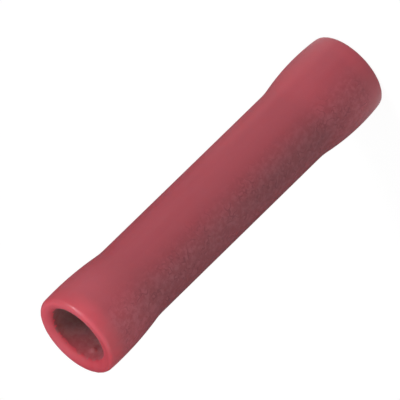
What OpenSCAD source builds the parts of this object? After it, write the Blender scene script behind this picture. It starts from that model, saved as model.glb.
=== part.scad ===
// Insulated butt splice connector for thin stranded wire.
//
// A tinned copper crimp barrel sits in the middle of a one-piece vinyl sleeve. Past each end of the
// barrel the sleeve is belled out: the wire's insulation enters the bell, and its bare strands enter
// the barrel as far as a stop that is rolled into the middle of the tube.
//
// Millimetres, axis along +Z. The origin is the centre of the lower end face, on which the part stands.

/* [Crimp barrel] */
// Length of the copper tube
barrel_length = 15; // [12:0.5:22]
// Diameter of the bore that takes the bare strands
barrel_bore = 1.7; // [1.4:0.1:3]
// Thickness of the copper wall
barrel_wall = 0.8; // [0.6:0.05:1]
// Countersink at each mouth of the bore
entry_chamfer = 0.3; // [0.1:0.05:0.45]
// Rounding of the tube's outer edge at each end
edge_round = 0.12; // [0.05:0.01:0.2]

/* [Wire stop] */
// How far the rolled bead stands into the bore
stop_height = 0.45; // [0.2:0.05:0.6]
// Nose radius of the groove that the roller leaves outside
stop_nose = 0.3; // [0.2:0.05:0.6]
// Inside radius of the bend at each foot of the bead
stop_bend = 0.2; // [0.1:0.05:0.5]

/* [Grip grooves] */
// Grooves in each half of the bore
groove_count = 3; // [1:1:4]
// Distance from groove to groove
groove_pitch = 1; // [0.5:0.1:1.2]
// Distance from the end of the barrel to its outermost groove
groove_inset = 2.2; // [1:0.1:2.5]
// Width of a groove at the bore
groove_width = 0.25; // [0.1:0.05:0.4]
// Depth of a groove
groove_depth = 0.08; // [0.04:0.01:0.2]

/* [Sleeve] */
// Thickness of the vinyl wall
sleeve_wall = 0.82; // [0.6:0.02:1.2]
// Gap between the barrel and the bore that grips it
fit_clearance = 0.02; // [0.01:0.01:0.05]

/* [Bells] */
// Length of each bell, from the end of the barrel to the end face
bell_length = 5; // [4:0.25:8]
// How far the crest of a bell stands out from the sleeve's body
bell_rise = 0.3; // [0.15:0.01:0.6]
// Distance from the end face to the crest
bell_crest = 1.5; // [1:0.05:2.5]
// Radius of the outside blend between bell and body
neck_blend = 5; // [1:0.2:6]
// Rounding of the lip's outer edge
lip_outer_round = 0.24; // [0.1:0.02:0.4]
// Rounding of the lip's inner edge
lip_inner_round = 0.38; // [0.1:0.02:0.5]

/* [Hidden] */

// Facets round the axis, and steps along a long and a short arc of an outline
turn_facets = 96;
long_steps = 14;
short_steps = 7;

// The largest share of the sleeve's wall that each lip rounding may take
outer_round_share = 0.35;
inner_round_share = 0.5;

vinyl_red = [0.71, 0.27, 0.32];
tinned_copper = [0.74, 0.73, 0.71];

// Radii from the axis outwards
bore_radius = barrel_bore / 2;
barrel_radius = bore_radius + barrel_wall;
grip_radius = barrel_radius + fit_clearance;
body_radius = grip_radius + sleeve_wall;
bell_radius = body_radius + bell_rise;
mouth_radius = bell_radius - sleeve_wall;

// Heights along the axis
half_barrel = barrel_length / 2;
sleeve_length = barrel_length + 2 * bell_length;

// The bell's outside is an arc, square to the end face at the crest, that meets the body where the
// barrel ends
bell_run = bell_length - bell_crest;
bell_arc = (bell_run ^ 2 + bell_rise ^ 2) / (2 * bell_rise);
bell_centre = [bell_radius - bell_arc, bell_crest];

// The blend at the neck touches that arc and the body
blend_x = body_radius + neck_blend;
blend_reach = blend_x - bell_centre.x;
blend_centre = [blend_x, bell_crest + sqrt((bell_arc + neck_blend) ^ 2 - blend_reach ^ 2)];
neck_angle = atan2(blend_centre.y - bell_centre.y, blend_reach);

// The lip's outer rounding touches the end face and the bell's arc
lip_outer = min(lip_outer_round, outer_round_share * sleeve_wall);
lip_inner = min(lip_inner_round, inner_round_share * sleeve_wall);
lip_reach = sqrt((bell_arc - lip_outer) ^ 2 - (bell_crest - lip_outer) ^ 2);
lip_centre = [bell_centre.x + lip_reach, lip_outer];
lip_angle = atan2(lip_centre.y - bell_centre.y, lip_reach);

// The bead is two bends of equal angle, with the tube's wall carried through them
stop_sum = stop_nose + stop_bend + barrel_wall;
stop_angle = acos(1 - stop_height / stop_sum);
stop_run = stop_sum * sin(stop_angle);
stop_nose_x = barrel_radius - stop_height + stop_nose;
stop_bend_x = bore_radius - stop_bend;

// Points along an arc, from one angle to another
function arc(centre, radius, from, to, steps) =
    [for (i = [0 : steps]) let (a = from + (to - from) * i / steps) centre + radius * [cos(a), sin(a)]];

// The same points in the opposite order
function reversed(points) = [for (i = [len(points) - 1 : -1 : 0]) points[i]];

// The same points with their heights turned over about a level
function turned_over(points, level) = [for (p = points) [p.x, 2 * level - p.y]];

// A ring outline from the outside and the inside of its upper or lower half, each listed from a first
// level towards the level about which the other half is turned over
function ring_outline(outside, inside, level) = concat(
    outside,
    turned_over(reversed(outside), level),
    turned_over(inside, level),
    reversed(inside));

// Bell arc and neck blend, moved inwards from the outer surface by an offset and listed from an angle
// of the bell's arc to the body
function bell_side(offset, from) = concat(
    arc(bell_centre, bell_arc - offset, from, neck_angle, long_steps),
    arc(blend_centre, neck_blend + offset, 180 + neck_angle, 180, short_steps));

// Half of the bead, moved inwards from the tube's outer surface by an offset and listed from the
// straight tube down to the middle of the bead
function bead_side(offset) = concat(
    arc([stop_bend_x, stop_run], stop_bend + barrel_wall - offset, 0, -stop_angle, short_steps),
    arc([stop_nose_x, 0], stop_nose + offset, 180 - stop_angle, 180, short_steps));

// One grip groove in the bore, listed downwards
function grip_groove(height) = [
    [bore_radius, height + groove_width / 2],
    [bore_radius + groove_depth, height],
    [bore_radius, height - groove_width / 2]];

// The grooves of one half of the bore, listed downwards
function grip_grooves() =
    [for (i = [0 : groove_count - 1]) each grip_groove(half_barrel - groove_inset - i * groove_pitch)];

module insulating_sleeve() {
    outside = concat(
        arc(lip_centre, lip_outer, -90, lip_angle, short_steps),
        bell_side(0, lip_angle));
    inside = concat(
        arc([mouth_radius + lip_inner, lip_inner], lip_inner, 270, 180, short_steps),
        bell_side(sleeve_wall, 0));
    color(vinyl_red)
        rotate_extrude($fn = turn_facets)
            polygon(ring_outline(outside, inside, sleeve_length / 2));
}

module crimp_barrel() {
    outside = concat(
        arc([barrel_radius - edge_round, half_barrel - edge_round], edge_round, 90, 0, short_steps),
        bead_side(0));
    inside = concat(
        [[bore_radius + entry_chamfer, half_barrel], [bore_radius, half_barrel - entry_chamfer]],
        grip_grooves(),
        bead_side(barrel_wall));
    color(tinned_copper)
        translate([0, 0, sleeve_length / 2])
            rotate_extrude($fn = turn_facets)
                polygon(ring_outline(outside, inside, 0));
}

insulating_sleeve();
crimp_barrel();
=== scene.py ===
"""Looks of an insulated butt splice: a red vinyl sleeve around a tinned copper crimp barrel.

Lengths are in metres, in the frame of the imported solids: the part stands on its lower end, with its axis
along +Z and the origin at the centre of its lower end face. Angles that are fields are in degrees.
"""

import logging
import math
from dataclasses import dataclass, field
from enum import Enum, IntEnum

import bpy
import numpy as np
from mathutils import Matrix, Vector

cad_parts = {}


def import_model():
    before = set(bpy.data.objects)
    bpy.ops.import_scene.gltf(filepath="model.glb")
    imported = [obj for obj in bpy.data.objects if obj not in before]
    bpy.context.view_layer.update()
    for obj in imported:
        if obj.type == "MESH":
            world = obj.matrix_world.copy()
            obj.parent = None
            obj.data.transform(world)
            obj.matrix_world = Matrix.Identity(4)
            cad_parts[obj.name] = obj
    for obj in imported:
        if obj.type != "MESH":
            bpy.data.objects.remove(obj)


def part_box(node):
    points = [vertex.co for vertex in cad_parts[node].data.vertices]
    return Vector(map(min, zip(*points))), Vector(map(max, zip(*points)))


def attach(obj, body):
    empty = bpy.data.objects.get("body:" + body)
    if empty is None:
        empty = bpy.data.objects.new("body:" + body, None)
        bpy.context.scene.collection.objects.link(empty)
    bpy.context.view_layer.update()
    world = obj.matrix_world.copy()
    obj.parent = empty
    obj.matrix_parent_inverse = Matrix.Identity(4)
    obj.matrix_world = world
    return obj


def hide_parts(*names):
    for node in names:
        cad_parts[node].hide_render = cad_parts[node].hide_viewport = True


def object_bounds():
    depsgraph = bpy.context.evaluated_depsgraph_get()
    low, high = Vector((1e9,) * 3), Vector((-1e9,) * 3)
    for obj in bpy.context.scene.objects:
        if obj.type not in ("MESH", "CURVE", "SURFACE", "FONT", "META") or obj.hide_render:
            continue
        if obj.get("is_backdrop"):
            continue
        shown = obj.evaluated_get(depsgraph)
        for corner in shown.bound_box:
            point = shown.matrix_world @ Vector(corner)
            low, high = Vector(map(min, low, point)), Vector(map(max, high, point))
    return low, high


MM = 0.001
IMAGE_PIXELS = 400
BODY = "root"
QUARTER_TURN = math.pi / 2.0
LEAST_STEP = 1e-4 * MM

Triple = tuple[float, float, float]
Colour = Triple
Range = tuple[float, float]
Socket = bpy.types.NodeSocket
Given = Socket | float | tuple[float, ...]

UNIT: Range = (0.0, 1.0)
WHITE: Colour = (1.0, 1.0, 1.0)
WITHOUT_HEIGHT = (1.0, 1.0, 0.0)

log = logging.getLogger("butt_splice")


class Slot(Enum):
    """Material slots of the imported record."""

    VINYL = "red_vinyl"
    TIN = "tinned_copper"


class Ray(Enum):
    """Kinds of ray that see the pale backdrop at full strength."""

    CAMERA = "Is Camera Ray"
    GLOSSY = "Is Glossy Ray"
    TRANSMISSION = "Is Transmission Ray"


class Blend(Enum):
    """Ways to blend a second colour into a first one."""

    MIX = "MIX"
    MULTIPLY = "MULTIPLY"


class MixSocket(IntEnum):
    """Sockets of a Mix node for colours, by their places among its inputs and outputs."""

    SHARE = 0
    FIRST = 6
    SECOND = 7
    RESULT = 2


class Kind(Enum):
    """Shader nodes by the work that they do here."""

    ADD_SHADERS = "ShaderNodeAddShader"
    BACKGROUND = "ShaderNodeBackground"
    BUMP = "ShaderNodeBump"
    COORDINATES = "ShaderNodeTexCoord"
    DIFFUSE = "ShaderNodeBsdfDiffuse"
    EMISSION = "ShaderNodeEmission"
    GEOMETRY = "ShaderNodeNewGeometry"
    GROUP = "ShaderNodeGroup"
    GROUP_INPUT = "NodeGroupInput"
    GROUP_OUTPUT = "NodeGroupOutput"
    LIGHT_PATH = "ShaderNodeLightPath"
    MAP_RANGE = "ShaderNodeMapRange"
    MATERIAL_OUTPUT = "ShaderNodeOutputMaterial"
    MATH = "ShaderNodeMath"
    MIX = "ShaderNodeMix"
    MIX_SHADERS = "ShaderNodeMixShader"
    NOISE = "ShaderNodeTexNoise"
    PRINCIPLED = "ShaderNodeBsdfPrincipled"
    SPLIT_VECTOR = "ShaderNodeSeparateXYZ"
    TRANSPARENT = "ShaderNodeBsdfTransparent"
    VECTOR_MATH = "ShaderNodeVectorMath"
    WORLD_OUTPUT = "ShaderNodeOutputWorld"


@dataclass(frozen=True)
class Fade:
    """The values at which a mask is 0 and 1. Between them it eases in and out, in either direction."""

    none: float
    full: float


@dataclass(frozen=True)
class Relief:
    """How deep a bump is, and how strongly it shows."""

    depth: float
    strength: float


class NodeSheet:
    """A node tree with short calls to add a node, set it and join it."""

    def __init__(self, tree: bpy.types.NodeTree) -> None:
        """Start from an empty tree.

        Args:
            tree: the node tree to fill.
        """
        tree.nodes.clear()
        self.tree = tree

    def join(self, given: Given, socket: Socket) -> None:
        """Join a given socket to one of this sheet, or set that one to a given value.

        Args:
            given: the value, or the socket that it comes from.
            socket: the socket that takes it.
        """
        if isinstance(given, Socket):
            self.tree.links.new(given, socket)
        else:
            socket.default_value = given

    def add(self, kind: Kind, inputs: dict[str | int, Given] | None = None,
            **settings: object) -> bpy.types.Node:
        """Add one node.

        Args:
            kind: what the node does.
            inputs: a value, or a socket to join, for each named or numbered input.
            settings: the node's own properties.

        Returns:
            The new node.
        """
        node = self.tree.nodes.new(kind.value)
        for name, setting in settings.items():
            setattr(node, name, setting)
        for name, given in (inputs or {}).items():
            self.join(given, node.inputs[name])
        return node

    def math(self, operation: str, first: Given, second: Given = 0.0) -> Socket:
        """Result of a Math node's operation on one or two values."""
        return self.add(Kind.MATH, {0: first, 1: second}, operation=operation).outputs["Value"]

    def plus(self, first: Given, second: Given) -> Socket:
        """Sum of two values."""
        return self.math("ADD", first, second)

    def minus(self, first: Given, second: Given) -> Socket:
        """A first value less a second one."""
        return self.math("SUBTRACT", first, second)

    def times(self, first: Given, second: Given) -> Socket:
        """Product of two values."""
        return self.math("MULTIPLY", first, second)

    def larger(self, first: Given, second: Given) -> Socket:
        """The larger of two values."""
        return self.math("MAXIMUM", first, second)

    def without_sign(self, value: Given) -> Socket:
        """A value without its sign."""
        return self.math("ABSOLUTE", value)

    def noise(self, place: Given, scale: Given, detail: float, roughness: float) -> Socket:
        """Noise at a place, with a scale, a depth of detail and the strength of that detail."""
        inputs = {"Vector": place, "Scale": scale, "Detail": detail, "Roughness": roughness}
        return self.add(Kind.NOISE, inputs).outputs["Fac"]

    def span(self, value: Given, source: Range, target: tuple[Given, Given] = UNIT,
             smooth: bool = False) -> Socket:
        """Carry a value from one range to another, clamped at its ends.

        Args:
            value: the value to carry over.
            source: the two values that become the ends of the target.
            target: the results at those values.
            smooth: ease in and out of the ends.

        Returns:
            The socket with the result.
        """
        inputs = {
            "Value": value,
            "From Min": source[0],
            "From Max": source[1],
            "To Min": target[0],
            "To Max": target[1],
        }
        easing = "SMOOTHSTEP" if smooth else "LINEAR"
        return self.add(Kind.MAP_RANGE, inputs, interpolation_type=easing).outputs["Result"]

    def mask(self, value: Given, fade: Fade) -> Socket:
        """Mask that eases from 0 to 1 as a value passes through a fade."""
        return self.span(value, (fade.none, fade.full), smooth=True)

    def blend(self, share: Given, first: Given, second: Given, mode: Blend = Blend.MIX) -> Socket:
        """Blend a second colour into a first one.

        Args:
            share: how much of the blend shows, from 0 to 1.
            first: the colour that a share of 0 leaves.
            second: the colour that is blended in.
            mode: how it is blended in.

        Returns:
            The socket with the colour.
        """
        inputs = {MixSocket.SHARE: share, MixSocket.FIRST: first, MixSocket.SECOND: second}
        node = self.add(Kind.MIX, inputs, data_type="RGBA", blend_type=mode.value)
        return node.outputs[MixSocket.RESULT]

    def seeing_ray(self) -> Socket:
        """Find the rays that see the backdrop at full strength.

        Returns:
            A value of 1 on each kind of ray in Ray, and of 0 on the others.
        """
        path = self.add(Kind.LIGHT_PATH)
        found, *others = (path.outputs[ray.value] for ray in Ray)
        for other in others:
            found = self.larger(found, other)
        return found

    def surface(self, relief: Relief, height: Socket, inputs: dict[str, Given]) -> None:
        """Add a shader with a bump, and join it to the material's output.

        Args:
            relief: the bump's depth and strength.
            height: the bump's height.
            inputs: the shader's other inputs by name.
        """
        shape = {"Height": height, "Strength": relief.strength, "Distance": relief.depth}
        bump = self.add(Kind.BUMP, shape)
        shader = self.add(Kind.PRINCIPLED, {**inputs, "Normal": bump.outputs["Normal"]})
        self.add(Kind.MATERIAL_OUTPUT, {"Surface": shader.outputs["BSDF"]})


def opaque(colour: Colour) -> tuple[float, float, float, float]:
    """A colour with full alpha, as shader sockets take it."""
    return (*colour, 1.0)


def new_material(name: str) -> bpy.types.Material:
    """Start a material that is made of nodes.

    Args:
        name: the material's name.

    Returns:
        The material.
    """
    made = bpy.data.materials.new(name)
    made.use_nodes = True
    return made


def new_group(name: str, inputs: dict[str, str], outputs: tuple[str, ...]) -> tuple[NodeSheet, dict, dict]:
    """Start a shader node group.

    Args:
        name: the group's name.
        inputs: each input's name with its socket type.
        outputs: the names of the outputs, which are all values.

    Returns:
        The group's sheet, its input sockets by name, and its output sockets by name.
    """
    tree = bpy.data.node_groups.new(name, "ShaderNodeTree")
    for label, socket_type in inputs.items():
        tree.interface.new_socket(name=label, in_out="INPUT", socket_type=socket_type)
    for label in outputs:
        tree.interface.new_socket(name=label, in_out="OUTPUT", socket_type="NodeSocketFloat")
    sheet = NodeSheet(tree)
    entry = sheet.add(Kind.GROUP_INPUT)
    leave = sheet.add(Kind.GROUP_OUTPUT)
    return sheet, entry.outputs, leave.inputs


def in_scene(name: str, data: bpy.types.ID) -> bpy.types.Object:
    """Make an object and put it into the scene.

    Args:
        name: the object's name.
        data: its mesh, lamp or camera.

    Returns:
        The object, at the origin.
    """
    made = bpy.data.objects.new(name, data)
    bpy.context.scene.collection.objects.link(made)
    return made


@dataclass(frozen=True)
class GrainEffect:
    """Fine grain that both finishes share, made of noises whose scales are shares of one scale.

    The height is the grain plus a finer noise. The mottle follows the sum of the grain and of a coarse noise
    that makes patches. Thin winding marks lie where another noise is near its middle: the grain breaks them
    into short strokes, and the patches gather these into clusters. The stipple is the grain by itself.
    """

    fine_share: float = 4.0
    fine_weight: float = 0.45
    patch_share: float = 0.3
    stroke_share: float = 0.6
    rich_detail: float = 2.0
    plain_detail: float = 1.0
    roughness: float = 0.55
    noise_middle: float = 0.5
    stroke: Fade = Fade(none=0.08, full=0.0)
    unbroken: Fade = Fade(none=0.44, full=0.54)
    cluster: Fade = Fade(none=0.40, full=0.56)
    mottle: Fade = Fade(none=0.72, full=1.28)
    stipple: Fade = Fade(none=0.30, full=0.70)

    def build(self) -> bpy.types.NodeTree:
        """Make the group.

        Returns:
            The group, with the outputs Mottle, Marks and Stipple, from 0 to 1, and Height.
        """
        inputs = {"Place": "NodeSocketVector", "Scale": "NodeSocketFloat"}
        sheet, given, result = new_group("fine_grain", inputs, ("Mottle", "Marks", "Stipple", "Height"))

        def noise(share: float, detail: float) -> Socket:
            """Noise at the group's place, whose scale is a share of the group's."""
            scale = sheet.times(given["Scale"], share)
            return sheet.noise(given["Place"], scale, detail, self.roughness)

        grain = noise(1.0, self.rich_detail)
        fine = noise(self.fine_share, self.plain_detail)
        patches = noise(self.patch_share, self.rich_detail)
        winding = noise(self.stroke_share, self.plain_detail)
        off_middle = sheet.without_sign(sheet.minus(winding, self.noise_middle))
        strokes = sheet.times(sheet.mask(off_middle, self.stroke), sheet.mask(grain, self.unbroken))
        made = {
            "Mottle": sheet.mask(sheet.plus(grain, patches), self.mottle),
            "Marks": sheet.times(strokes, sheet.mask(patches, self.cluster)),
            "Stipple": sheet.mask(grain, self.stipple),
            "Height": sheet.plus(grain, sheet.times(fine, self.fine_weight)),
        }
        for name, socket in made.items():
            sheet.join(socket, result[name])
        return sheet.tree


@dataclass(frozen=True)
class StreakEffect:
    """Faint lines along the axis, which drawing and moulding leave on both finishes.

    A noise is read at a place that is squeezed along the axis, so that its spots become streaks.
    """

    detail: float = 3.0
    roughness: float = 0.6
    streak: Fade = Fade(none=0.35, full=0.65)

    def build(self) -> bpy.types.NodeTree:
        """Make the group.

        Returns:
            The group, with the output Streak, from 0 to 1.
        """
        inputs = {"Place": "NodeSocketVector", "Scale": "NodeSocketFloat", "Squeeze": "NodeSocketVector"}
        sheet, given, result = new_group("axial_streaks", inputs, ("Streak",))
        place = sheet.add(Kind.VECTOR_MATH, {0: given["Place"], 1: given["Squeeze"]}, operation="MULTIPLY")
        noise = sheet.noise(place.outputs["Vector"], given["Scale"], self.detail, self.roughness)
        sheet.join(sheet.mask(noise, self.streak), result["Streak"])
        return sheet.tree


@dataclass(frozen=True)
class SharedEffects:
    """Shader node groups that more than one finish uses."""

    grain: bpy.types.NodeTree
    streaks: bpy.types.NodeTree

    def add_grain(self, sheet: NodeSheet, place: Socket, size: float) -> bpy.types.Node:
        """Place the grain in a material, at a size in metres."""
        return sheet.add(Kind.GROUP, {"Place": place, "Scale": 1.0 / size}, node_tree=self.grain)

    def add_streaks(self, sheet: NodeSheet, place: Socket, size: float, squeeze: Triple) -> bpy.types.Node:
        """Place the streaks in a material, at a size in metres and with a squeeze for each direction."""
        inputs = {"Place": place, "Scale": 1.0 / size, "Squeeze": squeeze}
        return sheet.add(Kind.GROUP, inputs, node_tree=self.streaks)


@dataclass(frozen=True)
class SidePair:
    """One colour for the +X side of the sleeve, named clear, and one for its -X side. Outside, the +X side
    faces the key lamp and the -X copy is painted in shade; in the mouth the -X copy is for the lit wall and
    the +X copy for the wall in shadow.
    """

    clear: Colour
    minus_x_side: Colour

    def colour(self, sheet: NodeSheet, minus_x_share: Socket) -> Socket:
        """Colour between the two, by the share of the -X copy from 0 to 1."""
        return sheet.blend(minus_x_share, opaque(self.clear), opaque(self.minus_x_side))


class SleeveSheet(NodeSheet):
    """The sheet of the sleeve's finish, with sockets that say where a point of the sleeve lies.

    They are the point's Object coordinates, its distance across towards the clear side, its height, its
    radius from the axis, and its depth below the nearer end face.
    """

    def __init__(self, tree: bpy.types.NodeTree, length: float) -> None:
        """Start from an empty tree and work out the distances.

        Args:
            tree: the node tree to fill.
            length: the sleeve's length.
        """
        super().__init__(tree)
        half = length / 2.0
        self.point = self.add(Kind.COORDINATES).outputs["Object"]
        split = self.add(Kind.SPLIT_VECTOR, {"Vector": self.point}).outputs
        level = self.add(Kind.VECTOR_MATH, {0: self.point, 1: WITHOUT_HEIGHT}, operation="MULTIPLY")
        distance = self.add(Kind.VECTOR_MATH, {0: level.outputs["Vector"]}, operation="LENGTH")
        self.across = split["X"]
        self.height = split["Z"]
        self.radius = distance.outputs["Value"]
        self.depth = self.minus(half, self.without_sign(self.minus(self.height, half)))


@dataclass(frozen=True)
class VinylFinish:
    """Satin red vinyl, a little translucent.

    Its outside is painted in lit and shaded copies: the +X side, which faces the key lamp, is clearer, and
    the -X side is greyer and darker with painted shade, carries stipple and fine winding marks with the
    grain's shading in grazing light painted in, and is darker towards the lower end. A painted sheen lies
    along both side edges there. The bells are painted brighter than the body, for light through the vinyl
    where no barrel lies behind them, and the rims carry a painted glow. The inner wall is painted dull and
    dark, with shade that changes with depth. Faint streaks run along the sleeve.
    """

    effects: SharedEffects
    length: float
    # Each pair: the +X copy faces the key lamp and the -X copy lies in shade; the body's -X copy is painted
    # greyer and darker as shade.
    body: SidePair = SidePair(clear=(0.560, 0.070, 0.103), minus_x_side=(0.486, 0.083, 0.112))
    # Darker on the -X side towards the lower end.
    darker_lower: SidePair = SidePair(clear=(0.560, 0.070, 0.103), minus_x_side=(0.414, 0.072, 0.097))
    # Painted glow: the bells are brighter for light through the vinyl where no barrel lies behind; the -X
    # copy, lit through from the +X side, is the brighter.
    bell: SidePair = SidePair(clear=(0.655, 0.095, 0.134), minus_x_side=(0.735, 0.120, 0.166))
    # Painted glow of light through the vinyl near both rims, brightest on the -X side.
    glow: SidePair = SidePair(clear=(0.690, 0.082, 0.116), minus_x_side=(0.940, 0.113, 0.160))
    # The end face and lips, painted brighter with light through the vinyl; the -X copy is painted darker, as
    # in shade.
    lip: SidePair = SidePair(clear=(0.800, 0.104, 0.146), minus_x_side=(0.600, 0.053, 0.084))
    # Painted shade in the mouth: the inner wall darker and duller, with the -X wall's copy painted lit and
    # the +X one in shadow.
    inside: SidePair = SidePair(clear=(0.385, 0.128, 0.133), minus_x_side=(0.500, 0.100, 0.125))
    # The painted shade deep down, greyer on the +X wall that lies in shadow.
    deep: SidePair = SidePair(clear=(0.395, 0.380, 0.370), minus_x_side=(0.280, 0.115, 0.120))
    # Tints of the marks and stipple. On the shaded -X side they paint in the grain's shading in grazing
    # light, as dark marks and pale specks; in the mouth the stipple is texture.
    mark_tint: Colour = (0.740, 0.450, 0.510)
    dark_tint: Colour = (0.850, 0.520, 0.570)
    light_tint: Colour = (1.150, 1.490, 1.440)
    streak_colour: Colour = (0.680, 0.140, 0.175)
    # Painted sheen along both side edges of the lower half.
    edge_sheen_colour: Colour = (0.700, 0.115, 0.150)
    shaded_side_across: Fade = Fade(none=0.7 * MM, full=-1.75 * MM)
    darker_lower_height: Fade = Fade(none=13.5 * MM, full=9.5 * MM)
    bell_depth: Fade = Fade(none=5.5 * MM, full=1.5 * MM)
    lower_bell_across: Range = (-2.4 * MM, -0.9 * MM)
    lower_bell_shares: Range = (0.8, 0.36)
    glow_depth: Fade = Fade(none=1.5 * MM, full=0.5 * MM)
    glow_across: Fade = Fade(none=2.2 * MM, full=0.4 * MM)
    lower_glow_share: float = 0.25
    lip_radius: Fade = Fade(none=2.7 * MM, full=2.5 * MM)
    marked_across: Fade = Fade(none=0.7 * MM, full=-1.1 * MM)
    marked_depth: Fade = Fade(none=0.6 * MM, full=1.8 * MM)
    stipple_share: float = 0.6
    wall_stipple_share: float = 0.35
    stipple_middle: float = 0.5
    streak_share: float = 0.12
    edge_sheen_height: Fade = Fade(none=16.0 * MM, full=8.0 * MM)
    lit_edge_sheen_across: Fade = Fade(none=1.5 * MM, full=2.1 * MM)
    lit_edge_sheen_share: float = 0.6
    shaded_edge_sheen_across: Fade = Fade(none=-1.9 * MM, full=-2.3 * MM)
    shaded_edge_sheen_share: float = 0.25
    inside_radius: Fade = Fade(none=2.10 * MM, full=2.04 * MM)
    inside_depth: Fade = Fade(none=0.33 * MM, full=0.43 * MM)
    inside_lit_across: Fade = Fade(none=1.2 * MM, full=-0.4 * MM)
    deep_depth: float = 2.2 * MM
    ragged: float = 0.2 * MM
    satin_roughness: Range = (0.31, 0.41)
    dull_roughness: float = 0.65
    dull_wall_radius: Fade = Fade(none=2.35 * MM, full=2.2 * MM)
    dull_lip_radius: Fade = Fade(none=2.88 * MM, full=2.54 * MM)
    grain_size: float = 0.3 * MM
    streak_size: float = 0.9 * MM
    streak_squeeze: Triple = (1.0, 1.0, 0.06)
    relief: Relief = Relief(depth=0.012 * MM, strength=0.5)
    scatter_weight: float = 0.6
    scatter_reach: float = 2.5 * MM
    scatter_colour: Colour = (1.0, 0.22, 0.16)

    def outer_colour(self, sheet: SleeveSheet) -> Socket:
        """Colour the outside: the body, darker lower down, then the bells with a painted glow, then the rims
        with their lips, painted with a glow too.

        Args:
            sheet: the material's sheet.

        Returns:
            The socket with the colour.
        """
        whole = (0.0, self.length)
        # Share of the -X copy, the side painted in shade.
        minus_x_share = sheet.mask(sheet.across, self.shaded_side_across)
        lower_darkening = sheet.mask(sheet.height, self.darker_lower_height)
        colour = sheet.blend(lower_darkening, self.body.colour(sheet, minus_x_share), self.darker_lower.colour(sheet, minus_x_share))
        # Painted glow of the bells, less on the lower one except towards its -X edge.
        lower_share = sheet.span(sheet.across, self.lower_bell_across, self.lower_bell_shares, smooth=True)
        bell_share = sheet.span(sheet.height, whole, (lower_share, 1.0))
        on_bell = sheet.times(sheet.mask(sheet.depth, self.bell_depth), bell_share)
        colour = sheet.blend(on_bell, colour, self.bell.colour(sheet, minus_x_share))
        # Painted glow near the rims, fainter at the lower one.
        glow_share = sheet.span(sheet.height, whole, (self.lower_glow_share, 1.0))
        on_rim = sheet.times(glow_share, sheet.mask(sheet.depth, self.glow_depth))
        glow = self.glow.colour(sheet, sheet.mask(sheet.across, self.glow_across))
        on_lip = sheet.mask(sheet.radius, self.lip_radius)
        return sheet.blend(on_rim, colour, sheet.blend(on_lip, glow, self.lip.colour(sheet, minus_x_share)))

    def streaked_with_sheen(self, sheet: SleeveSheet, colour: Socket, streak: Socket) -> Socket:
        """Lay faint streaks over a colour, and a painted sheen along both side edges of the lower half.

        Args:
            sheet: the material's sheet.
            colour: the colour below.
            streak: strength of the streaks, from 0 to 1.

        Returns:
            The socket with the colour.
        """
        streaked = sheet.times(streak, self.streak_share)
        colour = sheet.blend(streaked, colour, opaque(self.streak_colour))
        # Painted sheen along the two side edges, stronger towards the lower end.
        lit_edge = sheet.times(sheet.mask(sheet.across, self.lit_edge_sheen_across), self.lit_edge_sheen_share)
        shaded_edge = sheet.times(sheet.mask(sheet.across, self.shaded_edge_sheen_across), self.shaded_edge_sheen_share)
        on_edge = sheet.larger(lit_edge, shaded_edge)
        edge_sheen = sheet.times(on_edge, sheet.mask(sheet.height, self.edge_sheen_height))
        return sheet.blend(edge_sheen, colour, opaque(self.edge_sheen_colour))

    def inside_mask(self, sheet: SleeveSheet, stipple: Socket) -> Socket:
        """Find the inner wall, past a ragged line a little below each lip.

        Args:
            sheet: the material's sheet.
            stipple: stipple of the grain, from 0 to 1, which makes the line ragged.

        Returns:
            A mask that is 1 on the inner wall.
        """
        uneven = sheet.times(sheet.minus(stipple, self.stipple_middle), self.ragged)
        below_line = sheet.mask(sheet.plus(sheet.depth, uneven), self.inside_depth)
        return sheet.times(sheet.mask(sheet.radius, self.inside_radius), below_line)

    def inside_colour(self, sheet: SleeveSheet) -> Socket:
        """Colour the inner wall with painted shade, evenly from its colour below the lip to the one deep
        down.

        Args:
            sheet: the material's sheet.

        Returns:
            The socket with the colour.
        """
        # Share of the -X wall, which faces the key lamp: its copy is the painted lit one.
        minus_x_share = sheet.mask(sheet.across, self.inside_lit_across)
        down = sheet.span(sheet.depth, (self.inside_depth.full, self.deep_depth))
        return sheet.blend(down, self.inside.colour(sheet, minus_x_share), self.deep.colour(sheet, minus_x_share))

    def roughness(self, sheet: SleeveSheet, mottle: Socket) -> Socket:
        """Satin that follows the mottle, and dull on the inner wall and the lips.

        Args:
            sheet: the material's sheet.
            mottle: soft patches, from 0 to 1.

        Returns:
            The socket with the roughness.
        """
        satin = sheet.span(mottle, UNIT, self.satin_roughness)
        at_rim = sheet.mask(sheet.depth, self.glow_depth)
        on_lip = sheet.times(at_rim, sheet.mask(sheet.radius, self.dull_lip_radius))
        dull = sheet.larger(sheet.mask(sheet.radius, self.dull_wall_radius), on_lip)
        return sheet.larger(satin, sheet.times(dull, self.dull_roughness))

    def material(self) -> bpy.types.Material:
        """Build the material.

        Returns:
            A material that reads Object coordinates.
        """
        made = new_material("red_vinyl_satin")
        sheet = SleeveSheet(made.node_tree, self.length)
        grain = self.effects.add_grain(sheet, sheet.point, self.grain_size).outputs
        streaks = self.effects.add_streaks(sheet, sheet.point, self.streak_size, self.streak_squeeze).outputs
        inside = self.inside_mask(sheet, grain["Stipple"])
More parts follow.
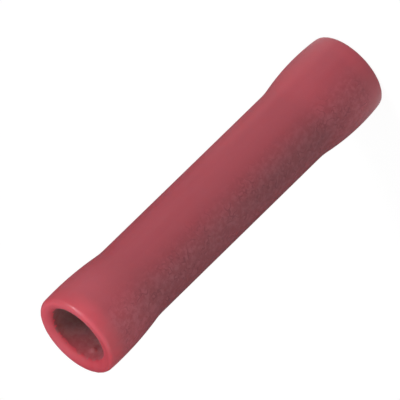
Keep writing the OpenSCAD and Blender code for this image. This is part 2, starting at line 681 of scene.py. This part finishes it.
        # Marks and stipple on the shaded -X side below the rims: grain with its grazing-light shading
        # painted in.
        below_rim = sheet.mask(sheet.depth, self.marked_depth)
        shaded_grain_side = sheet.times(below_rim, sheet.mask(sheet.across, self.marked_across))
        colour = self.streaked_with_sheen(sheet, self.outer_colour(sheet), streaks["Streak"])
        marked = sheet.times(grain["Marks"], shaded_grain_side)
        colour = sheet.blend(marked, colour, opaque(self.mark_tint), Blend.MULTIPLY)
        colour = sheet.blend(inside, colour, self.inside_colour(sheet))
        on_wall = sheet.times(inside, self.wall_stipple_share)
        stippled = sheet.larger(sheet.times(shaded_grain_side, self.stipple_share), on_wall)
        tint = sheet.blend(grain["Stipple"], opaque(self.dark_tint), opaque(self.light_tint))
        sheet.surface(self.relief, grain["Height"], {
            "Base Color": sheet.blend(stippled, colour, tint, Blend.MULTIPLY),
            "Roughness": self.roughness(sheet, grain["Mottle"]),
            "Subsurface Weight": self.scatter_weight,
            "Subsurface Radius": self.scatter_colour,
            "Subsurface Scale": self.scatter_reach,
        })
        return made


@dataclass(frozen=True)
class TinFinish:
    """Satin tin plate on copper, with lines from drawing the tube and faint dull patches."""

    effects: SharedEffects
    bright: Colour = (0.74, 0.72, 0.68)
    dull: Colour = (0.52, 0.49, 0.45)
    satin_roughness: Range = (0.24, 0.42)
    grain_size: float = 0.18 * MM
    streak_size: float = 0.12 * MM
    streak_squeeze: Triple = (1.0, 1.0, 0.03)
    relief: Relief = Relief(depth=0.004 * MM, strength=0.5)

    def material(self) -> bpy.types.Material:
        """Build the material.

        Returns:
            A metal that reads Object coordinates.
        """
        made = new_material("tin_plate_satin")
        sheet = NodeSheet(made.node_tree)
        point = sheet.add(Kind.COORDINATES).outputs["Object"]
        grain = self.effects.add_grain(sheet, point, self.grain_size).outputs
        streaks = self.effects.add_streaks(sheet, point, self.streak_size, self.streak_squeeze).outputs
        sheet.surface(self.relief, streaks["Streak"], {
            "Base Color": sheet.blend(grain["Mottle"], opaque(self.bright), opaque(self.dull)),
            "Metallic": 1.0,
            "Roughness": sheet.span(streaks["Streak"], UNIT, self.satin_roughness),
        })
        return made


def arc(centre: tuple[float, float], radius: float, start: float, stop: float, count: int) -> np.ndarray:
    """Points along an arc: the centre plus the radius times the cosine and sine of each angle.

    Args:
        centre: distance from the axis, and height.
        radius: the arc's radius.
        start: first angle, in radians.
        stop: last angle, in radians.
        count: number of points.

    Returns:
        An array of points, one row each.
    """
    angle = np.linspace(start, stop, count)
    return np.asarray(centre) + radius * np.column_stack((np.cos(angle), np.sin(angle)))


def turned_over(points: np.ndarray, level: float) -> np.ndarray:
    """The same points mirrored in height about a level, in the opposite order."""
    return (points * (1.0, -1.0) + (0.0, 2.0 * level))[::-1]


def closed_outline(runs: list[np.ndarray]) -> np.ndarray:
    """Join runs of points into one closed outline, without points that repeat the one before.

    Args:
        runs: arrays of points in order.

    Returns:
        The outline, whose last point isn't its first.
    """
    points = np.vstack(runs)
    step = np.linalg.norm(points - np.roll(points, 1, axis=0), axis=1)
    return points[step > LEAST_STEP]


def round_angles(turns: int) -> np.ndarray:
    """Angles at even steps round the axis, in radians."""
    return np.linspace(0.0, math.tau, turns, endpoint=False)


def carried_round(points: np.ndarray, turns: int) -> tuple[np.ndarray, np.ndarray]:
    """Radius and height of each point of an outline, one row each, repeated for each turn."""
    return np.repeat(points[:, :1], turns, axis=1), np.repeat(points[:, 1:], turns, axis=1)


def revolved(name: str, radius: np.ndarray, height: np.ndarray, crease: float) -> bpy.types.Object:
    """Make a surface from a closed outline that was carried round the axis.

    Point i of the outline at turn j lies at radius[i, j] times the cosine and sine of the turn's angle, at
    height[i, j]. Neighbours in both directions make quads that wrap round, so the surface is closed. The
    outline runs up its outside and down its inside, so the faces point outwards.

    Args:
        name: the new object's name.
        radius: distances from the axis, one row for each point and one column for each turn.
        height: heights, in the same form.
        crease: angle past which an edge is drawn sharp, in degrees.

    Returns:
        The object, at the origin.
    """
    rows, turns = radius.shape
    angle = round_angles(turns)
    places = np.stack((radius * np.cos(angle), radius * np.sin(angle), height), axis=-1)
    index = np.arange(rows * turns).reshape(rows, turns)
    above = np.roll(index, -1, axis=0)
    quads = np.stack((index, np.roll(index, -1, axis=1), np.roll(above, -1, axis=1), above), axis=-1)
    corners = quads.shape[-1]
    mesh = bpy.data.meshes.new(name)
    mesh.vertices.add(rows * turns)
    mesh.vertices.foreach_set("co", places.astype(np.float32).ravel())
    mesh.loops.add(quads.size)
    mesh.loops.foreach_set("vertex_index", quads.astype(np.int32).ravel())
    mesh.polygons.add(rows * turns)
    mesh.polygons.foreach_set("loop_start", np.arange(0, quads.size, corners, dtype=np.int32))
    mesh.polygons.foreach_set("use_smooth", np.ones(rows * turns, dtype=bool))
    mesh.update(calc_edges=True)
    mesh.validate()
    mesh.set_sharp_from_angle(angle=math.radians(crease))
    return in_scene(name, mesh)


@dataclass(frozen=True)
class RimWave:
    """An uneven wave round a rim.

    It is a sum of cosines whose whole wave numbers run from lowest to highest, with seeded strengths and
    phases. The sum is divided by its largest size and moved to lie between 0 and 1.
    """

    seed: int
    lowest: int
    highest: int
    least_strength: float = 0.3

    def at(self, angle: np.ndarray) -> np.ndarray:
        """Work out the wave.

        Args:
            angle: angles round the axis, in radians.

        Returns:
            The wave at each angle, from 0 to 1.
        """
        chance = np.random.default_rng(self.seed)
        waves = np.arange(self.lowest, self.highest + 1)
        strength = chance.uniform(self.least_strength, 1.0, waves.size)
        phase = chance.uniform(0.0, math.tau, waves.size)
        total = (strength[:, None] * np.cos(waves[:, None] * angle + phase[:, None])).sum(axis=0)
        return 0.5 + 0.5 * (total / np.abs(total).max())


@dataclass(frozen=True)
class BellShape:
    """Form of one bell, counted from its end face."""

    length: float
    crest: float
    neck_blend: float
    lip_outer: float


@dataclass
class VinylSleeve:
    """The sleeve: a straight body that grips the barrel, and a bell with a rounded lip at each end."""

    effects: SharedEffects
    node: str = "insulating_sleeve"
    name: str = "vinyl_sleeve"
    wall: float = 0.82 * MM
    bell_rise: float = 0.3 * MM
    lower: BellShape = BellShape(
        length=4.98 * MM, crest=1.97 * MM, neck_blend=4.7 * MM, lip_outer=0.25 * MM)
    upper: BellShape = BellShape(
        length=4.87 * MM, crest=1.2 * MM, neck_blend=5.2 * MM, lip_outer=0.3 * MM)
    lip_inner: float = 0.48 * MM
    rim_reach: float = 0.45 * MM
    burr: float = 0.05 * MM
    burr_wave: RimWave = RimWave(seed=11, lowest=5, highest=26)
    dent: float = 0.024 * MM
    dent_wave: RimWave = RimWave(seed=5, lowest=8, highest=36)
    flash_height: float = 0.18 * MM
    flash_radius: float = 0.19 * MM
    flash_turn: float = 131.0
    flash_depth: float = 1.03 * MM
    crease: float = 60.0
    turns: int = 320
    lip_points: int = 18
    outer_bell_points: int = 26
    inner_bell_points: int = 18
    blend_points: int = 10
    mouth_points: int = 10
    body_points: int = 40
    grip_points: int = 24
    bell_radius: float = field(init=False)
    mouth: float = field(init=False)
    length: float = field(init=False)

    def __post_init__(self) -> None:
        """Take the overall size from the solid."""
        low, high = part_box(self.node)
        self.bell_radius = min(high.x, high.y, -low.x, -low.y)
        self.mouth = self.bell_radius - self.wall
        self.length = high.z - low.z

    def bell_runs(self, bell: BellShape) -> tuple[np.ndarray, np.ndarray]:
        """Outline of a bell at the lower end.

        The outside is an arc, upright at the crest, that drops by the bell's rise over the rest of its
        length, and a blend that touches this arc and the body. The inside is parallel to it, one wall
        further in, and upright from the crest to the mouth. The lip is rounded off on both sides.

        Args:
            bell: the bell's form.

        Returns:
            The outside from the end face to the body, and the inside from the body to the end face.
        """
        run = bell.length - bell.crest
        bow = (run**2 + self.bell_rise**2) / (2.0 * self.bell_rise)
        bell_centre = (self.bell_radius - bow, bell.crest)
        blend_x = self.bell_radius - self.bell_rise + bell.neck_blend
        reach = blend_x - bell_centre[0]
        blend_up = math.sqrt((bow + bell.neck_blend) ** 2 - reach**2)
        blend_centre = (blend_x, bell.crest + blend_up)
        neck = math.atan2(blend_up, reach)
        lip_reach = math.sqrt((bow - bell.lip_outer) ** 2 - (bell.crest - bell.lip_outer) ** 2)
        lip_centre = (bell_centre[0] + lip_reach, bell.lip_outer)
        lip = math.atan2(bell.lip_outer - bell.crest, lip_reach)
        rounding = (self.mouth + self.lip_inner, self.lip_inner)
        outside = np.vstack((
            arc(lip_centre, bell.lip_outer, -QUARTER_TURN, lip, self.lip_points),
            arc(bell_centre, bow, lip, neck, self.outer_bell_points),
            arc(blend_centre, bell.neck_blend, math.pi + neck, math.pi, self.blend_points),
        ))
        inside = np.vstack((
            arc(blend_centre, bell.neck_blend + self.wall, math.pi, math.pi + neck, self.blend_points),
            arc(bell_centre, bow - self.wall, neck, 0.0, self.inner_bell_points),
            np.linspace((self.mouth, bell.crest), (self.mouth, self.lip_inner), self.mouth_points),
            arc(rounding, self.lip_inner, math.pi, math.pi + QUARTER_TURN, self.lip_points),
        ))
        return outside, inside

    def outline(self) -> np.ndarray:
        """Join both bells by the straight body.

        Returns:
            The closed outline of the whole wall, up its outside and down its inside.
        """
        middle = self.length / 2.0
        outside, inside = self.bell_runs(self.lower)
        upper_outside, upper_inside = (turned_over(run, middle) for run in self.bell_runs(self.upper))
        body = np.linspace(outside[-1], upper_outside[0], self.body_points)
        grip = np.linspace(upper_inside[-1], inside[0], self.grip_points)
        return closed_outline([outside, body, upper_outside, upper_inside, grip, inside])

    def roughen_rims(self, radius: np.ndarray, height: np.ndarray, angle: np.ndarray) -> None:
        """Give both rims a burr on the inner edge of the lip and shallow dents in the outer one.

        Both draw the wall towards the axis by an uneven wave round the rim, within a short reach below the
        end face. Over this reach the burr swells and fades by a sine, and the dents fade evenly.

        Args:
            radius: distances from the axis, which are changed.
            height: heights, in the same form.
            angle: angle of each column, in radians.
        """
        inner_edge = np.clip(1.0 - np.abs(radius - self.mouth) / self.lip_inner, 0.0, 1.0)
        depth = np.minimum(height, self.length - height)
        near_rim = np.clip(1.0 - depth / self.rim_reach, 0.0, 1.0)
        radius -= self.burr * inner_edge * np.sin(math.pi * near_rim) * self.burr_wave.at(angle)
        outer_edge = np.clip((radius - self.mouth) / self.wall, 0.0, 1.0)
        radius -= self.dent * outer_edge * near_rim * self.dent_wave.at(angle)

    def add_flash(self, radius: np.ndarray, height: np.ndarray, angle: np.ndarray) -> None:
        """Raise a lump of flash on the inner wall of the upper mouth.

        Its height is a bell curve of the distance from its middle, measured along and around the wall.

        Args:
            radius: distances from the axis, which are changed.
            height: heights, in the same form.
            angle: angle of each column, in radians.
        """
        along = height - (self.length - self.flash_depth)
        turn = np.mod(angle - math.radians(self.flash_turn) + math.pi, math.tau) - math.pi
        around = self.mouth * turn
        lump = np.exp(-(along**2 + around**2) / self.flash_radius**2)
        radius -= self.flash_height * lump * (radius < self.mouth + self.flash_radius)

    def build(self) -> bpy.types.Object:
        """Make the sleeve: its outline carried round the axis, with uneven rims and a lump of flash.

        Returns:
            The finished piece.
        """
        angle = round_angles(self.turns)
        radius, height = carried_round(self.outline(), self.turns)
        self.roughen_rims(radius, height, angle)
        self.add_flash(radius, height, angle)
        made = revolved(self.name, radius, height, self.crease)
        made.data.materials.append(VinylFinish(self.effects, self.length).material())
        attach(made, BODY)
        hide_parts(self.node)
        return made


@dataclass
class CrimpBarrel:
    """The barrel: a copper tube with countersunk mouths, grip grooves and a rolled wire stop."""

    effects: SharedEffects
    node: str = "crimp_barrel"
    name: str = "tinned_barrel"
    wall: float = 0.8 * MM
    entry_chamfer: float = 0.3 * MM
    edge_round: float = 0.12 * MM
    stop_height: float = 0.45 * MM
    stop_nose: float = 0.3 * MM
    stop_bend: float = 0.2 * MM
    groove_count: int = 3
    groove_pitch: float = 1.0 * MM
    groove_inset: float = 2.2 * MM
    groove_width: float = 0.25 * MM
    groove_depth: float = 0.08 * MM
    crease: float = 30.0
    turns: int = 192
    bead_points: int = 12
    edge_points: int = 8
    radius: float = field(init=False)
    bore: float = field(init=False)
    half_length: float = field(init=False)
    middle: float = field(init=False)

    def __post_init__(self) -> None:
        """Take the overall size and place from the solid."""
        low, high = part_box(self.node)
        self.radius = min(high.x, high.y, -low.x, -low.y)
        self.bore = self.radius - self.wall
        self.half_length = (high.z - low.z) / 2.0
        self.middle = (high.z + low.z) / 2.0

    def bead_run(self, offset: float) -> np.ndarray:
        """Half of the rolled bead, from its middle up to the straight tube.

        Two arcs of equal angle and opposite bend touch each other. An offset moves both from the tube's
        outer surface towards the axis, which keeps the wall's thickness through the bends.

        Args:
            offset: distance from the tube's outer surface.

        Returns:
            The points, with heights counted from the barrel's middle.
        """
        both = self.stop_nose + self.stop_bend + self.wall
        bend = math.acos(1.0 - self.stop_height / both)
        nose_centre = (self.radius - self.stop_height + self.stop_nose, 0.0)
        bend_centre = (self.bore - self.stop_bend, both * math.sin(bend))
        return np.vstack((
            arc(nose_centre, self.stop_nose + offset, math.pi, math.pi - bend, self.bead_points),
            arc(bend_centre, self.stop_bend + self.wall - offset, -bend, 0.0, self.bead_points),
        ))

    def groove_run(self) -> np.ndarray:
        """Grip grooves of the upper half of the bore, each a notch of three points in the wall.

        Returns:
            The points, listed upwards, with heights counted from the barrel's middle.
        """
        order = np.arange(self.groove_count - 1, -1, -1)
        heights = self.half_length - self.groove_inset - order * self.groove_pitch
        half_width = self.groove_width / 2.0
        notch = np.array([(0.0, -half_width), (self.groove_depth, 0.0), (0.0, half_width)])
        middles = np.column_stack((np.full_like(heights, self.bore), heights))
        return (middles[:, None, :] + notch).reshape(-1, 2)

    def outline(self) -> np.ndarray:
        """Join the upper half of the wall and its mirror image.

        Returns:
            The closed outline of the whole wall, up its outside and down its inside.
        """
        top = self.half_length
        edge_centre = (self.radius - self.edge_round, top - self.edge_round)
        outside = np.vstack((
            self.bead_run(0.0),
            arc(edge_centre, self.edge_round, 0.0, QUARTER_TURN, self.edge_points),
        ))
        inside = np.vstack((
            self.bead_run(self.wall),
            self.groove_run(),
            [(self.bore, top - self.entry_chamfer), (self.bore + self.entry_chamfer, top)],
        ))
        runs = [turned_over(outside, 0.0), outside, inside[::-1], turned_over(inside[::-1], 0.0)]
        return closed_outline(runs) + (0.0, self.middle)

    def build(self) -> bpy.types.Object:
        """Make the barrel by carrying its outline round the axis.

        Returns:
            The finished piece.
        """
        radius, height = carried_round(self.outline(), self.turns)
        made = revolved(self.name, radius, height, self.crease)
        made.data.materials.append(TinFinish(self.effects).material())
        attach(made, BODY)
        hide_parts(self.node)
        return made


@dataclass(frozen=True)
class SoftLamp:
    """A round soft lamp that looks at the part.

    The level is how bright it makes a white card that faces it, where 1 is white.
    """

    name: str
    azimuth: float
    elevation: float
    distance: float
    width: float
    level: float

    def build(self, target: Vector) -> bpy.types.Object:
        """Make the lamp.

        Args:
            target: the point that it looks at.

        Returns:
            The lamp.
        """
        turn = math.radians(self.azimuth)
        rise = math.radians(self.elevation)
        towards = Vector((math.sin(turn) * math.cos(rise), -math.cos(turn) * math.cos(rise), math.sin(rise)))
        light = bpy.data.lights.new(self.name, "AREA")
        light.shape = "DISK"
        light.size = self.width
        light.energy = self.level * math.pi**2 * self.distance**2
        made = in_scene(self.name, light)
        made.location = target + towards * self.distance
        made.rotation_euler = towards.to_track_quat("Z", "Y").to_euler()
        made.visible_camera = False
        return made


@dataclass(frozen=True)
class EdgeCard:
    """A graded card round the back of the part that only reflections see, so that the edges read darker.

    It lies on the floor close to the part, bends up and stands behind it. It is dark at the back and turns
    to white towards its two ends.
    """

    name: str = "edge_card"
    dark_half: float = 25.0
    white_half: float = 150.0
    start: float = 2.85 * MM
    reach: float = 40.0 * MM
    rise: float = 60.0 * MM
    lift: float = 0.05 * MM
    back_level: float = 0.1
    turns: int = 48

    def material(self) -> bpy.types.Material:
        """Build the material, a glow whose strength follows the angle from the back.

        Returns:
            A material that reads Object coordinates.
        """
        made = new_material("graded_card")
        sheet = NodeSheet(made.node_tree)
        point = sheet.add(Kind.COORDINATES).outputs["Object"]
        split = sheet.add(Kind.SPLIT_VECTOR, {"Vector": point}).outputs
        turn = sheet.without_sign(sheet.math("ARCTAN2", split["X"], split["Y"]))
        grading = (math.radians(self.dark_half), math.radians(self.white_half))
        level = sheet.span(turn, grading, (self.back_level, 1.0), smooth=True)
        glow = sheet.add(Kind.EMISSION, {"Strength": level}).outputs[0]
        sheet.add(Kind.MATERIAL_OUTPUT, {"Surface": glow})
        return made

    def build(self) -> bpy.types.Object:
        """Make the card: a short profile, along the floor and up, carried round part of a turn.

        Returns:
            The card.
        """
        profile = np.array([(self.start, self.lift), (self.reach, self.lift), (self.reach, self.rise)])
        half = math.radians(self.white_half)
        angle = np.linspace(-half, half, self.turns)
        radius, height = carried_round(profile, self.turns)
        places = np.stack((radius * np.sin(angle), radius * np.cos(angle), height), axis=-1)
        index = np.arange(radius.size).reshape(radius.shape)
        near, far = index[:-1], index[1:]
        quads = np.stack((near[:, :-1], far[:, :-1], far[:, 1:], near[:, 1:]), axis=-1)
        points = places.reshape(-1, places.shape[-1])
        faces = quads.reshape(-1, quads.shape[-1])
        mesh = bpy.data.meshes.new(self.name)
        mesh.from_pydata(points.tolist(), [], faces.tolist())
        mesh.materials.append(self.material())
        made = in_scene(self.name, mesh)
        made.visible_camera = False
        made.visible_diffuse = False
        made.visible_transmission = False
        made.visible_shadow = False
        made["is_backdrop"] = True
        return made


@dataclass
class Studio:
    """Pale floor, soft light and the camera at the photograph's viewing angle."""

    elevation: float = 26.5
    roll: float = 134.23
    distance: float = 0.627
    pixels_per_metre: float = 17085.0
    middle_pixel: tuple[float, float] = (212.75, 203.35)
    sensor_mm: float = 36.0
    nearest: float = 0.01
    farthest: float = 20.0
    floor_half: float = 1.5
    floor_colour: Colour = (0.08, 0.08, 0.08)
    floor_glow: float = 0.20
    floor_lift: float = 0.957
    ambient: float = 0.26
    lamps: tuple[SoftLamp, ...] = (
        SoftLamp("key_lamp", azimuth=54.0, elevation=38.0, distance=0.9, width=0.25, level=0.455),
        SoftLamp("top_lamp", azimuth=54.0, elevation=86.0, distance=0.9, width=0.3, level=0.125),
        SoftLamp("fill_lamp", azimuth=-72.0, elevation=15.0, distance=0.9, width=0.5, level=0.08),
    )

    def floor_material(self) -> bpy.types.Material:
        """Build the floor's material.

        Its own colour takes the part's shadow, and a faint glow stands for the light of a paler sheet. On
        camera, glossy and transmission rays a plain lift brings it to white. From below it is see-through.

        Returns:
            The material.
        """
        made = new_material("pale_floor")
        sheet = NodeSheet(made.node_tree)
        matt = sheet.add(Kind.DIFFUSE, {"Color": opaque(self.floor_colour)}).outputs[0]
        strength = sheet.span(sheet.seeing_ray(), UNIT, (self.floor_glow, self.floor_lift))
        lift = sheet.add(Kind.EMISSION, {"Strength": strength}).outputs[0]
        above = sheet.add(Kind.ADD_SHADERS, {0: matt, 1: lift}).outputs[0]
        below = sheet.add(Kind.TRANSPARENT).outputs[0]
        side = sheet.add(Kind.GEOMETRY).outputs["Backfacing"]
        both = sheet.add(Kind.MIX_SHADERS, {0: side, 1: above, 2: below}).outputs[0]
        sheet.add(Kind.MATERIAL_OUTPUT, {"Surface": both})
        return made

    def build_floor(self) -> bpy.types.Object:
        """Make the floor, a flat sheet under the part.

        Returns:
            The floor.
        """
        half = self.floor_half
        corners = [(-half, -half, 0.0), (half, -half, 0.0), (half, half, 0.0), (-half, half, 0.0)]
        mesh = bpy.data.meshes.new("floor")
        mesh.from_pydata(corners, [], [range(len(corners))])
        mesh.materials.append(self.floor_material())
        made = in_scene("floor", mesh)
        made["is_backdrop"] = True
        return made

    def build_world(self) -> bpy.types.World:
        """Make the surroundings: white where they are seen or mirrored, and a low even light otherwise.

        Returns:
            The scene's world.
        """
        world = bpy.data.worlds.new("studio")
        world.use_nodes = True
        sheet = NodeSheet(world.node_tree)
        strength = sheet.span(sheet.seeing_ray(), UNIT, (self.ambient, 1.0))
        backdrop = sheet.add(Kind.BACKGROUND, {"Color": opaque(WHITE), "Strength": strength})
        sheet.add(Kind.WORLD_OUTPUT, {"Surface": backdrop.outputs[0]})
        world.cycles.sampling_method = "NONE"
        bpy.context.scene.world = world
        return world

    def build_camera(self, target: Vector) -> bpy.types.Object:
        """Make the camera.

        It stands in front of the part at the photograph's elevation and is rolled about its own line of
        sight. It is moved across that line so that the part's middle falls on the photograph's pixel.

        Args:
            target: the middle of the part.

        Returns:
            The camera, which becomes the scene's own.
        """
        rise = math.radians(self.elevation)
        roll = math.radians(self.roll)
        back = Vector((0.0, -math.cos(rise), math.sin(rise)))
        level_up = Vector((0.0, math.sin(rise), math.cos(rise)))
        level_right = Vector((1.0, 0.0, 0.0))
        right = math.cos(roll) * level_right - math.sin(roll) * level_up
        up = math.sin(roll) * level_right + math.cos(roll) * level_up
        centre = IMAGE_PIXELS / 2.0
        across = (centre - self.middle_pixel[0]) / self.pixels_per_metre
        upwards = (self.middle_pixel[1] - centre) / self.pixels_per_metre
        place = target + back * self.distance + right * across + up * upwards
        lens = bpy.data.cameras.new("camera")
        lens.sensor_width = self.sensor_mm
        lens.lens = self.pixels_per_metre * self.distance * self.sensor_mm / IMAGE_PIXELS
        lens.clip_start = self.nearest
        lens.clip_end = self.farthest
        made = in_scene("camera", lens)
        made.matrix_world = Matrix.Translation(place) @ Matrix((right, up, back)).transposed().to_4x4()
        bpy.context.scene.camera = made
        return made

    def build(self, target: Vector) -> None:
        """Make the floor, the surroundings, the card, the lamps and the camera.

        Args:
            target: the middle of the part.
        """
        bpy.context.scene.view_settings.view_transform = "Standard"
        self.build_floor()
        self.build_world()
        EdgeCard().build()
        for lamp in self.lamps:
            lamp.build(target)
        self.build_camera(target)


def main() -> None:
    """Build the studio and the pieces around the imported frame."""
    logging.basicConfig(level=logging.INFO, format="%(name)s: %(message)s")
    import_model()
    cad_low, cad_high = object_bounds()
    Studio().build((cad_low + cad_high) / 2.0)
    effects = SharedEffects(grain=GrainEffect().build(), streaks=StreakEffect().build())
    for assembly in (VinylSleeve(effects), CrimpBarrel(effects)):
        piece = assembly.build()
        log.info("%s: %d faces, stands for %s", piece.name, len(piece.data.polygons), assembly.node)


if __name__ == "__main__":
    main()
